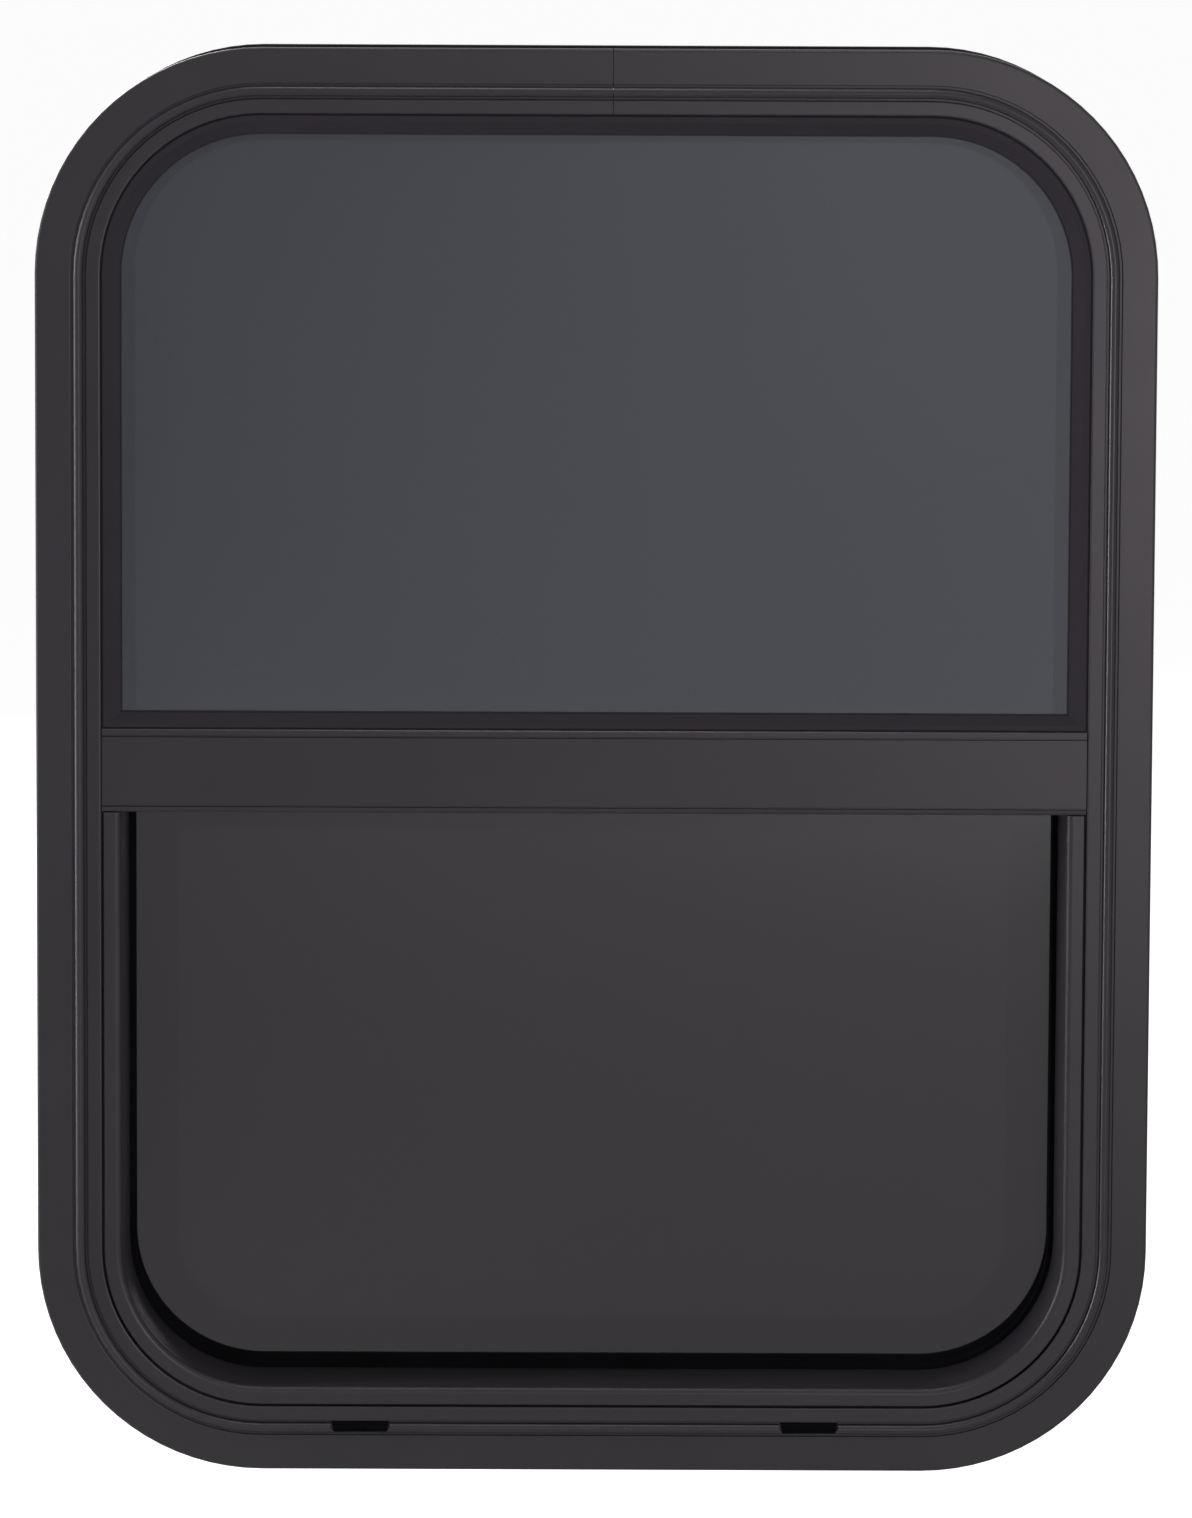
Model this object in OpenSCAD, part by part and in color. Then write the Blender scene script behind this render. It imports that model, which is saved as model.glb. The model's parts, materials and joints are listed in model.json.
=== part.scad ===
// Caravan window with a fixed upper pane and a lower sash that slides up behind it.
// The outside face looks along -Y, +Z is up, and the origin is at the middle of the window
// on the plane where the flange meets the outer skin of the caravan.
// Depths are Y values: negative is outside the caravan wall, positive is inside it.
// An inset is a distance from the outer edge of the flange towards the middle.

/* [Overall] */
// Width over the flange
frame_w = 552; // [440:1:760]
// Height over the flange
frame_h = 709; // [600:1:900]
// Radius of the flange's outer corners
corner_r = 111.5; // [90:0.5:130]
// Thickness of the caravan wall that the frame passes through
wall_depth = 54; // [53:0.5:70]

/* [Frame section] */
// Thickness of the flange
flange_t = 2.4; // [1.8:0.1:3.2]
// Radius of the flange's rolled outer edge
flange_edge_r = 1.4; // [0.8:0.1:1.6]
// Wall of the aluminium sections
metal_t = 1.6; // [1.2:0.1:2]
// Inset of the bead's middle
bead_inset = 21.3; // [20:0.1:21.6]
// Radius of the bead
bead_r = 2.5; // [1.8:0.1:2.6]
// Width of the groove on each side of the bead
groove_w = 1.2; // [0.6:0.1:1.3]
// Depth of those grooves
groove_depth = 1.4; // [0.6:0.1:1.6]
// How far the flat lip stands above the flange
lip_rise = 0.9; // [0.4:0.1:1.4]
// Inset of the lip's edge, where the glass opening begins
lip_inset = 32.2; // [32:0.1:35]
// Inset of the outer face of the wall that passes through the opening
web_inset = 22; // [21.5:0.1:22.5]
// Depth of the ledge that the fixed pane is bedded on
ledge_depth = 5.5; // [5:0.1:8]
// Inset of the ledge's inner edge
ledge_inset = 42; // [40:0.1:43]
// Extra inset of the reveal at its inner end
reveal_slope = 2.4; // [1:0.1:4]
// Depth of the front wall of the sash channel
channel_depth = 36; // [30:0.1:37]
// Width of the sash channel
channel_w = 7.7; // [7:0.1:9]
// Width of the slot for the ring's screws
screw_slot_w = 4.8; // [4.2:0.1:5.4]
// Width of the joint between the two ends of the bent section
seam_w = 0.3; // [0.2:0.05:0.6]
// Distance of that joint from the middle
seam_x = 7.6; // [-20:0.1:20]
// Length of the plate that joins the two ends
seam_plate_l = 80; // [60:1:100]
// Width of that plate
seam_plate_w = 16; // [12:0.5:20]
// Thickness of that plate
seam_plate_t = 1.5; // [1:0.1:2]
// Diameter of its rivets' heads
rivet_d = 7; // [5:0.1:8]

/* [Infill strip] */
// Gap between the lip and the strip that fills the lower half's pocket
infill_gap = 1.1; // [0.6:0.1:1.6]
// Radius of the strip's edge towards the reveal
infill_r = 3; // [1:0.1:4]
// Wall of the strip
infill_t = 1.4; // [1:0.1:1.8]

/* [Drain slots] */
// Length of a drain slot
drain_l = 29.5; // [20:0.5:40]
// Height of a drain slot
drain_h = 5.1; // [3:0.1:6]
// Distance between the drain slots
drain_pitch = 224; // [150:1:300]
// How far the pair sits from the middle
drain_shift = -3.4; // [-20:0.1:20]

/* [Middle rail] */
// Height of the rail's lower edge
rail_low = -23.3; // [-60:0.1:0]
// Height of the rail's face
rail_h = 41.3; // [36:0.1:60]
// Height of the rail's upper lip
rail_lip_h = 3.2; // [2.5:0.1:5]
// Height of the rail's drip lip
rail_drip_h = 2.6; // [2:0.1:4]

/* [Glass] */
// Thickness of both panes
glass_t = 4; // [3:0.5:4]
// Thickness of the bedding tape
tape_t = 0.6; // [0.4:0.1:1]
// Visible width of the outside gasket
gasket_w = 10; // [7:0.1:11]
// Visible width of the gasket along the rail
rail_gasket_w = 8.6; // [6:0.1:9]
// Gap between the fixed pane's edge and the pocket
pane_gap = 1.6; // [1:0.1:2.5]
// Length of the blocks that the fixed pane stands on
block_l = 40; // [25:1:60]

/* [Sash] */
// Height of the sash's top rail
sash_rail_h = 26; // [20:0.5:34]
// Height of the middle of the sash's top rail
sash_rail_z = 0; // [-6:0.5:6]
// How far the sliding pane reaches into the channel, as an inset
sash_inset = 27; // [26.5:0.1:30]
// Depth of the finger pull
pull_depth = 12; // [8:0.5:16]
// Visible width of the black seal beside and above the sliding pane
seal_w = 3.2; // [2.5:0.1:5]
// Visible height of the seal below the sliding pane
sill_seal_h = 7.2; // [5:0.1:8]
// Running gap of the sliding parts
run_gap = 0.2; // [0.15:0.05:0.4]
// Height of the rubber stops at the tops of the channels
stop_h = 8; // [5:0.5:10]

/* [Latches] */
// Length of a latch's housing
latch_l = 44; // [36:1:54]
// Height of a latch's housing
latch_h = 13; // [12:0.5:14]
// Depth of a latch's housing
latch_depth = 9; // [8:0.5:10]
// Diameter of the latch bolts
bolt_d = 5; // [4:0.1:5.5]
// Length of the slot that a bolt's knob slides in
latch_slot_l = 13; // [9:0.5:16]

/* [Insect screen] */
// Width of the screen's frame bars
screen_bar_w = 29; // [20:0.5:34]
// Thickness of the screen's frame
screen_t = 8; // [5:0.5:8]
// Height of the screen's top edge
screen_top = -8; // [-16:0.5:-4]
// Distance between the screen's pull tabs
tab_pitch = 240; // [160:5:300]
// Width of a pull tab
tab_w = 18; // [12:0.5:26]
// Height of a pull tab
tab_h = 13; // [9:0.5:16]
// How far a pull tab's grip stands out
tab_grip = 6; // [4:0.5:8]

/* [Clamp ring] */
// Thickness of the ring
ring_t = 1.6; // [1.2:0.1:2.5]
// Inset of the ring's outer edge
ring_out = 1.1; // [0:0.1:3]
// Inset of the ring's inner edge
ring_inset = 41.5; // [40:0.1:43]
// Height of the ring's rolled edges
ring_edge_h = 4; // [2:0.5:6]
// Diameter of the ring screws' heads
screw_head_d = 8.4; // [6:0.1:9]
// Diameter of the ring screws' shanks
screw_d = 4.2; // [3.5:0.1:4.2]

/* [Hidden] */
$fn = 48;

satin_black = [0.23, 0.22, 0.23];
rubber_black = [0.08, 0.08, 0.08];
tint = [0.3, 0.33, 0.36, 0.6];
steel = [0.6, 0.6, 0.62];

// Lengths of the straight sides
straight_w = frame_w - 2 * corner_r;
straight_h = frame_h - 2 * corner_r;

// Depth of the lip's face, of the lip's underside and of the rear of the sash channel
lip_front = -flange_t - lip_rise;
lip_back = lip_front + metal_t;
rear_rib = channel_depth + channel_w;
rear_face = rear_rib + metal_t;
// Insets of the pocket for the fixed pane and of the slot for the ring's screws
pocket_inset = lip_inset - 2.4;
reveal_inset = ledge_inset + reveal_slope;
slot_mid = lip_inset + 2;
slot_out = slot_mid - screw_slot_w / 2;
slot_in = slot_mid + screw_slot_w / 2;
web_in = web_inset + metal_t;

// Fixed pane
pane_back = ledge_depth - tape_t;
pane_front = pane_back - glass_t;
pane_inset = pocket_inset + pane_gap;
gasket_gap = 0.4;
toe_w = 0.9;
toe_h = 1.4;

// Middle rail
rail_top = rail_low + rail_h;
rail_floor = rail_top - 2.4;
rail_back = channel_depth - 1.8;
rail_end_gap = 0.3;
pane_low = rail_floor + 3.7;
boss_d = 8;
boss_bore = 3.6;
rail_screw_d = 7.6;
rail_hole_d = boss_bore + 0.3;
boss_depth = 14;
boss_low = rail_low + 9;
boss_high = rail_floor - 7;

// Sliding pane, centred in its channel
sash_front = channel_depth + (channel_w - glass_t) / 2;
sash_back = sash_front + glass_t;
sash_rail_inset = reveal_inset + seal_w + 1;
sash_rail_low = sash_rail_z - sash_rail_h / 2;
sash_rail_top = sash_rail_z + sash_rail_h / 2;
leg_gap = 0.2;
leg_t = 1.4;
liner_t = (channel_w - glass_t) / 2 - run_gap;
seal_edge = channel_depth - 0.4;

// The stops stand at the top of the straight sides; the sash slides up to them
sash_glass_top = sash_rail_top - 3;
stop_z = straight_h / 2 - stop_h;
sash_travel = stop_z - 1 - sash_glass_top;

// Screen
screen_gap = 0.3;
screen_front = rear_face + screen_gap;
screen_inset = slot_in + metal_t + 0.5;

// Latches
latch_z = sash_rail_z + 4;
bolt_depth = rear_face + 4.2;
catch_steps = [0, 0.4, 0.7, 1];
knob_d = 4;
latch_slot_x = -frame_w / 2 + sash_rail_inset + 1 + latch_l * 0.55;

// Places of the ring's screws as [x, z]
slot_x = frame_w / 2 - slot_mid;
slot_z = frame_h / 2 - slot_mid;
slot_r = corner_r - slot_mid;
screw_places = concat(
    [for (s = [-1, 1], f = [-0.28, -0.078, 0.078, 0.28]) [s * slot_x, f * frame_h]],
    [for (s = [-1, 1], f = [-0.235, 0, 0.235]) [f * frame_w, s * slot_z]],
    [for (s = [-1, 1], t = [-1, 1])
        [s * (straight_w / 2 + slot_r * cos(45)), t * (straight_h / 2 + slot_r * sin(45))]]);

// Points of an arc from angle a0 to a1 about a centre
function arc(cx, cy, r, a0, a1, n = 6) =
    [for (i = [0 : n]) let (a = a0 + (a1 - a0) * i / n) [cx + r * cos(a), cy + r * sin(a)]];

// A flat rounded rectangle that lies an inset inside the flange's outer edge
module outline(inset) {
    r = corner_r - inset;
    w = frame_w - 2 * inset;
    h = frame_h - 2 * inset;
    square([w, h - 2 * r], center = true);
    square([w - 2 * r, h], center = true);
    for (x = [-1, 1], z = [-1, 1])
        translate([x * (w / 2 - r), z * (h / 2 - r)]) circle(r = r);
}

// Stands a flat shape up in the window's plane, from one depth to another
module upright(y0, y1) {
    translate([0, y1, 0]) rotate([90, 0, 0]) linear_extrude(height = y1 - y0) children();
}

// A section drawn as [inset, depth], run along the left side between two heights
module left_run(z0, z1) {
    translate([-frame_w / 2, 0, z0]) linear_extrude(height = z1 - z0) children();
}

// The same section run along the top between two widths
module top_run(x0, x1) {
    rotate([0, 90, 0]) translate([-frame_h / 2, 0, x0])
        linear_extrude(height = x1 - x0) children();
}

// The same section turned round a corner: 0 bottom right, 1 top right, 2 top left, 3 bottom left
module corner_run(k) {
    sx = (k == 0 || k == 1) ? 1 : -1;
    sz = (k == 1 || k == 2) ? 1 : -1;
    translate([sx * straight_w / 2, 0, sz * straight_h / 2]) rotate([0, -90 * k, 0])
        rotate([-90, 0, 0]) rotate_extrude(angle = 90, $fn = 96)
            translate([corner_r, 0]) mirror([1, 0]) children();
}

// The section round the whole window
module full_loop() {
    for (m = [0, 1]) mirror([m, 0, 0]) left_run(-straight_h / 2, straight_h / 2) children();
    for (m = [0, 1]) mirror([0, 0, m]) top_run(-straight_w / 2, straight_w / 2) children();
    for (k = [0 : 3]) corner_run(k) children();
}

// The section up both sides from a height and over the top
module upper_loop(z0) {
    for (m = [0, 1]) mirror([m, 0, 0]) left_run(z0, straight_h / 2) children();
    top_run(-straight_w / 2, straight_w / 2) children();
    for (k = [1, 2]) corner_run(k) children();
}

// Section of the outer frame
module frame_section() {
    bead_out = bead_inset - bead_r;
    bead_in = bead_inset + bead_r;
    groove_out = bead_out - groove_w;
    groove_in = bead_in + groove_w;
    groove_floor = -flange_t + groove_depth;
    bead_base = -flange_t + 0.4;
    edge_r = 0.4;
    lip_edge_r = 0.5;
    difference() {
        polygon(concat(
            [[0, 0]],
            arc(flange_edge_r, -flange_t + flange_edge_r, flange_edge_r, 180, 270, 4),
            arc(groove_out - edge_r, -flange_t + edge_r, edge_r, -90, 0, 3),
            [[groove_out, groove_floor], [bead_out, groove_floor]],
            arc(bead_inset, bead_base, bead_r, 180, 360, 14),
            [[bead_in, groove_floor], [groove_in, groove_floor]],
            arc(groove_in + lip_edge_r, lip_front + lip_edge_r, lip_edge_r, 180, 270, 3),
            arc(lip_inset - 0.8, lip_front + 0.8, 0.8, -90, 0, 4),
            [[lip_inset, lip_back], [pocket_inset, lip_back], [pocket_inset, ledge_depth]],
            arc(ledge_inset - 1, ledge_depth + 1, 1, -90, 0, 3),
            [[reveal_inset, channel_depth], [web_in, channel_depth],
                [web_in, rear_rib], [reveal_inset - 0.8, rear_rib],
                [reveal_inset - 0.8, rear_face], [slot_in + metal_t, rear_face],
                [slot_in + metal_t, wall_depth], [slot_in, wall_depth],
                [slot_in, rear_face + metal_t], [slot_out, rear_face + metal_t],
                [slot_out, wall_depth], [slot_out - metal_t, wall_depth],
                [slot_out - metal_t, rear_face], [web_inset, rear_face],
                [web_inset, 0]]));
        frame_chamber();
    }
}

// Hollow of the frame's front part, which the drain slots open into
module frame_chamber() {
    front = lip_front + metal_t + 0.1;
    step = bead_inset + bead_r + groove_w + 0.9;
    polygon([[web_in, 1.2], [step, 1.2], [step, front], [pocket_inset - metal_t, front],
        [pocket_inset - metal_t, ledge_depth + metal_t],
        [ledge_inset - metal_t, ledge_depth + metal_t],
        [reveal_inset - metal_t, channel_depth - metal_t],
        [web_in, channel_depth - metal_t]]);
}

// A drain slot is wider at its top edge; it opens through the bead into the chamber
module drain_cut() {
    low = -frame_h / 2 + bead_inset - bead_r * 0.8;
    mid = low + drain_h * 0.5;
    high = low + drain_h;
    half = drain_l / 2;
    half_low = half - 1.6;
    chamber = -frame_h / 2 + web_in;
    upright(-flange_t - bead_r - 1, -0.7)
        polygon([[-half_low, low], [half_low, low], [half, mid], [half, high], [-half, high],
            [-half, mid]]);
    translate([-half_low, -1, chamber]) cube([2 * half_low, 4, high - chamber]);
}

module outer_frame() {
    color(satin_black) difference() {
        full_loop() frame_section();
        // joint between the two ends of the bent section
        translate([seam_x, -flange_t - bead_r - 1, frame_h / 2 - reveal_inset - 2])
            cube([seam_w, wall_depth + 10, reveal_inset + 4]);
        for (s = [-1, 1]) translate([drain_shift + s * drain_pitch / 2, 0, 0]) drain_cut();
        // holes for the rail's screws, through both walls of the chamber
        for (z = [boss_low, boss_high]) translate([0, boss_depth, z]) rotate([0, 90, 0])
            cylinder(d = rail_hole_d, h = frame_w - 30, center = true, $fn = 24);
        // catch holes for the latch bolts, from the closed place to the fully open one
        for (f = catch_steps) translate([0, bolt_depth, latch_z + f * sash_travel])
            rotate([0, 90, 0])
                cylinder(d = bolt_d + 0.6, h = frame_w - 2 * slot_in + 1, center = true, $fn = 24);
    }
}

module seam_plate() {
    color(steel) translate([seam_x + (seam_w - seam_plate_l) / 2, 6, frame_h / 2 - web_inset])
        cube([seam_plate_l, seam_plate_w, seam_plate_t]);
}

module seam_rivets() {
    color(steel) for (f = [-0.375, -0.175, 0.175, 0.375])
        translate([seam_x + seam_w / 2 + f * seam_plate_l, 6 + seam_plate_w / 2,
            frame_h / 2 - web_inset + seam_plate_t])
            cylinder(d1 = rivet_d, d2 = rivet_d * 0.6, h = rivet_d * 0.2, $fn = 24);
}

module upper_glass() {
    color(tint) intersection() {
        upright(pane_front, pane_back) outline(pane_inset);
        translate([-frame_w / 2, -20, pane_low]) cube([frame_w, 40, frame_h]);
    }
}

// Section of the outside gasket: a flat shoulder beside the lip and a slope to the glass
module gasket_section(w) {
    edge = lip_inset + gasket_gap;
    polygon([[pocket_inset + 0.4, lip_back + 0.2], [edge, lip_back + 0.2],
        [edge, lip_front + 1.1], [edge + 0.7, lip_front + 0.6],
        [edge + w * 0.35, lip_front + 0.8], [edge + w * 0.56, lip_front + 1.6],
        [edge + w - toe_w, pane_front - toe_h], [edge + w - toe_w, pane_front - 0.2],
        [edge + w, pane_front - 0.2], [edge + w, pane_front],
        [pocket_inset + 0.4, pane_front]]);
}

// Wedge of space beside the mitre where the side gasket meets the rail's gasket
module mitre_side() {
    edge = -frame_w / 2 + lip_inset;
    x = edge + gasket_gap;
    z = rail_top + gasket_gap;
    upright(-20, 20) polygon([[edge - 6, pane_low - 30], [edge - 6, rail_top], [x, z],
        [x + gasket_w, z + rail_gasket_w], [x + gasket_w * 2, z + rail_gasket_w * 2],
        [x + gasket_w * 2, pane_low - 30]]);
}

module upper_gasket() {
    color(rubber_black) {
        for (m = [0, 1]) mirror([m, 0, 0]) difference() {
            left_run(rail_top, straight_h / 2) gasket_section(gasket_w);
            mitre_side();
        }
        top_run(-straight_w / 2, straight_w / 2) gasket_section(gasket_w);
        for (k = [1, 2]) corner_run(k) gasket_section(gasket_w);
    }
}

module rail_gasket() {
    edge = rail_top + gasket_gap;
    w = rail_gasket_w;
    half = frame_w / 2 - lip_inset - gasket_gap;
    color(rubber_black) intersection() {
        translate([-half, 0, 0]) rotate([90, 0, 90]) linear_extrude(height = 2 * half)
            polygon([[lip_back + 0.2, rail_floor + 0.4], [lip_back + 0.2, edge],
                [lip_front + 1.1, edge], [lip_front + 0.6, edge + 0.7],
                [lip_front + 0.8, edge + w * 0.35], [lip_front + 1.6, edge + w * 0.56],
                [pane_front - toe_h, edge + w - toe_w], [pane_front - 0.2, edge + w - toe_w],
                [pane_front - 0.2, edge + w], [pane_front, edge + w],
                [pane_front, rail_floor + 0.4]]);
        upright(-20, 20) polygon([[-half, rail_floor - 4], [half, rail_floor - 4], [half, edge],
            [half - gasket_w * 2, edge + w * 2], [-half + gasket_w * 2, edge + w * 2],
            [-half, edge]]);
    }
}

module glass_tape() {
    tape_out = pane_inset + 1;
    tape_in = ledge_inset - 1.2;
    half = frame_w / 2 - reveal_inset - rail_end_gap;
    color(rubber_black) {
        upper_loop(pane_low) translate([tape_out, pane_back]) square([tape_in - tape_out, tape_t]);
        translate([-half, pane_back, pane_low]) cube([2 * half, tape_t, 5.6]);
    }
}

module setting_blocks() {
    color(rubber_black) for (s = [-1, 1])
        translate([s * straight_w * 0.42 - block_l / 2, pane_front + 0.2, rail_floor])
            cube([block_l, glass_t - 0.2, pane_low - rail_floor]);
}

// Section of the clip-in strip that fills the glazing pocket below the middle rail
module infill_section() {
    front = lip_front + 0.2;
    edge = lip_inset + infill_gap;
    foot = ledge_depth - infill_t;
    inner = ledge_inset - infill_t;
    polygon(concat(
        [[edge, foot], [edge, front + 0.3], [edge + 0.3, front]],
        arc(ledge_inset - infill_r, front + infill_r, infill_r, -90, 0, 8),
        [[ledge_inset, ledge_depth], [inner, ledge_depth]],
        arc(ledge_inset - infill_r, front + infill_r, infill_r - infill_t, 0, -90, 8),
        [[edge + infill_t, front + infill_t], [edge + infill_t, ledge_depth],
            [pocket_inset + 0.3, ledge_depth], [pocket_inset + 0.3, foot]]));
}

module infill_strip() {
    color(satin_black) {
        for (m = [0, 1]) mirror([m, 0, 0])
            left_run(-straight_h / 2, rail_low - rail_end_gap) infill_section();
        mirror([0, 0, 1]) top_run(-straight_w / 2, straight_w / 2) infill_section();
        for (k = [0, 3]) corner_run(k) infill_section();
    }
}

// Section of the middle rail, drawn as [depth, height]
module rail_section() {
    band_top = rail_top - rail_lip_h;
    band_low = rail_low + rail_drip_h + 1;
    band = lip_front + 0.2;
    drip_r = rail_drip_h / 2;
    difference() {
        polygon(concat(
            [[band, band_low], [band, band_top - 0.8], [band + 0.6, band_top - 0.5],
                [band + 0.6, band_top - 0.1], [lip_front, band_top + 0.2],
                [lip_front, rail_top - 0.5], [lip_front + 0.5, rail_top],
                [lip_back, rail_top], [lip_back, rail_floor],
                [ledge_depth, rail_floor], [ledge_depth, pane_low + 6],
                [ledge_depth + metal_t, pane_low + 6], [ledge_depth + metal_t, rail_floor],
                [rail_back, rail_floor], [rail_back, rail_low + rail_drip_h],
                [lip_back, rail_low + rail_drip_h], [lip_back, rail_low + drip_r]],
            arc(lip_front + drip_r, rail_low + drip_r, drip_r, 0, -180, 8),
            [[lip_front + 0.3, rail_low + rail_drip_h],
                [band + 0.7, rail_low + rail_drip_h + 0.3],
                [band + 0.7, band_low - 0.2]]));
        difference() {
            translate([lip_back + 0.1, rail_low + rail_drip_h + metal_t])
                square([rail_back - metal_t - lip_back - 0.1,
                    rail_floor - rail_low - rail_drip_h - 2 * metal_t]);
            // screw bosses on webs from the rail's back wall
            for (z = [boss_low, boss_high]) {
                translate([boss_depth, z]) circle(d = boss_d);
                translate([boss_depth, z - 0.8]) square([rail_back - boss_depth, 1.6]);
            }
        }
        for (z = [boss_low, boss_high]) translate([boss_depth, z]) circle(d = boss_bore);
    }
}

module middle_rail() {
    front_half = frame_w / 2 - lip_inset - rail_end_gap;
    back_half = frame_w / 2 - reveal_inset - rail_end_gap;
    color(satin_black) difference() {
        translate([-front_half, 0, 0]) rotate([90, 0, 90])
            linear_extrude(height = 2 * front_half) rail_section();
        // the box behind the face is cut back to fit between the reveals
        for (m = [0, 1]) mirror([m, 0, 0])
            translate([back_half, ledge_depth - rail_end_gap, rail_low - 1])
                cube([30, wall_depth, rail_h + 40]);
    }
}

module rail_pile() {
    half = frame_w / 2 - sash_rail_inset;
    color(rubber_black) translate([-half, rail_back, sash_rail_z - 5])
        cube([2 * half, sash_front - leg_gap - leg_t - rail_back - 0.15, 6]);
}

// Screws driven through the frame into the ends of the rail
module rail_screws() {
    reach = web_inset + 34;
    color(steel) for (m = [0, 1]) mirror([m, 0, 0])
        for (z = [boss_low, boss_high]) translate([frame_w / 2 - reach, boss_depth, z])
            rotate([0, 90, 0]) {
                cylinder(d = boss_bore - 0.1, h = reach - web_inset + 0.1, $fn = 24);
                translate([0, 0, reach - web_inset])
                    cylinder(d1 = rail_screw_d, d2 = rail_screw_d - 2, h = 2.2, $fn = 24);
            }
}

module sash_glass() {
    color(tint) intersection() {
        upright(sash_front, sash_back) outline(sash_inset);
        translate([-frame_w / 2, 0, -frame_h])
            cube([frame_w, wall_depth, frame_h + sash_glass_top]);
    }
}

// Top rail of the sash: a channel over the pane's edge with a finger pull on the room side
module sash_rail() {
    half = frame_w / 2 - sash_rail_inset;
    y0 = sash_front - leg_gap - leg_t;
    y1 = sash_back + leg_gap + leg_t;
    color(satin_black) translate([-half, 0, 0]) rotate([90, 0, 90])
        linear_extrude(height = 2 * half) polygon(concat(
            [[y0, sash_rail_low], [y0, sash_rail_top], [y1 + pull_depth - 1, sash_rail_top]],
            arc(y1 + pull_depth - 1, sash_rail_top - 1, 1, 90, 0, 3),
            [[y1 + pull_depth, sash_rail_top - 6], [y1 + pull_depth - leg_t, sash_rail_top - 6],
                [y1 + pull_depth - leg_t, sash_rail_top - 2],
                [y1, sash_rail_top - 2], [y1, sash_rail_low], [y1 - leg_t, sash_rail_low],
                [y1 - leg_t, sash_rail_top - 2.4], [y0 + leg_t, sash_rail_top - 2.4],
                [y0 + leg_t, sash_rail_low]]));
}

// Thin strip between the top rail and the top edge of the pane
module sash_rail_liner() {
    half = frame_w / 2 - sash_rail_inset;
    color(rubber_black) translate([-half, sash_front, sash_glass_top])
        cube([2 * half, glass_t, 0.6]);
}

// Section of the channel liner; a face wider than the channel's wall shows as a black seal
module seal_section(w) {
    y0 = channel_depth + 0.05;
    y1 = rear_rib - 0.05;
    floor_in = sash_inset - run_gap;
    face = seal_edge - 1;
    front = y0 + liner_t - 0.05;
    rear = y1 - liner_t + 0.05;
    polygon([[web_in + 0.1, y0], [reveal_inset + 0.2, y0], [reveal_inset + 0.2, face],
        [reveal_inset + w * 0.7, face], [reveal_inset + w, seal_edge],
        [reveal_inset + w, front], [floor_in, front], [floor_in, rear],
        [reveal_inset - 1.2, rear], [reveal_inset - 1.2, y1], [web_in + 0.1, y1]]);
}

module jamb_seal() {
    left_run(-straight_h / 2 + 0.1, straight_h / 2 - 0.1) seal_section(seal_w);
}

module jamb_seal_left() {
    color(rubber_black) jamb_seal();
}

module jamb_seal_right() {
    color(rubber_black) mirror([1, 0, 0]) jamb_seal();
}

// The seal below the pane stands higher in the middle and runs out into the side seals
module sill_seal() {
    inner_w = frame_w - 2 * (reveal_inset + seal_w);
    inner_r = corner_r - reveal_inset - seal_w;
    inner_low = -frame_h / 2 + reveal_inset + sill_seal_h;
    color(rubber_black) {
        mirror([0, 0, 1]) top_run(-straight_w / 2, straight_w / 2) seal_section(seal_w);
        for (k = [0, 3]) corner_run(k) seal_section(seal_w);
        upright(seal_edge, channel_depth + liner_t) difference() {
            intersection() {
                outline(reveal_inset + seal_w / 2);
                translate([-frame_w / 2, -frame_h]) square([frame_w, frame_h - straight_h / 2]);
            }
            for (s = [-1, 1]) translate([s * (inner_w / 2 - inner_r), inner_low + inner_r])
                circle(r = inner_r, $fn = 96);
            translate([-inner_w / 2, inner_low + inner_r]) square([inner_w, frame_h]);
            translate([inner_r - inner_w / 2, inner_low]) square([inner_w - 2 * inner_r, frame_h]);
        }
    }
}

module head_seal() {
    color(rubber_black) {
        top_run(-straight_w / 2, straight_w / 2) seal_section(seal_w);
        for (k = [1, 2]) corner_run(k) seal_section(seal_w);
    }
}

// Rubber blocks in the tops of the channels that stop the sash
module travel_stops() {
    color(rubber_black) for (m = [0, 1]) mirror([m, 0, 0])
        translate([-frame_w / 2 + sash_inset - run_gap, sash_front - run_gap, stop_z])
            cube([reveal_inset - sash_inset - 2, glass_t + 2 * run_gap, stop_h]);
}

// Housing of a latch on the room side of the sash's top rail, with a slot for the bolt's knob
module latch_body() {
    y0 = sash_back + leg_gap + leg_t;
    x0 = -frame_w / 2 + sash_rail_inset + 1;
    z0 = latch_z - latch_h / 2;
    round = 3;
    color(rubber_black) difference() {
        union() {
            translate([0, 0, z0]) linear_extrude(height = latch_h - 1.2) polygon(concat(
                [[x0, y0]],
                arc(x0 + round, y0 + latch_depth - round, round, 180, 90),
                arc(x0 + latch_l - round, y0 + latch_depth - round, round, 90, 0),
                [[x0 + latch_l, y0]]));
            // fixed grip that the knob is squeezed towards
            translate([x0 + latch_l - 6, y0 + latch_depth - 1, z0 + 2])
                cube([3, 5, latch_h - 6]);
        }
        translate([x0 - 1, bolt_depth, latch_z]) rotate([0, 90, 0])
            cylinder(d = bolt_d + 0.2, h = latch_l - 8, $fn = 24);
        translate([latch_slot_x - latch_slot_l / 2, bolt_depth, latch_z - knob_d / 2 - 0.2])
            cube([latch_slot_l, latch_depth + 4, knob_d + 0.4]);
    }
}

module latch_left() {
    latch_body();
}

module latch_right() {
    mirror([1, 0, 0]) latch_body();
}

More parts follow.
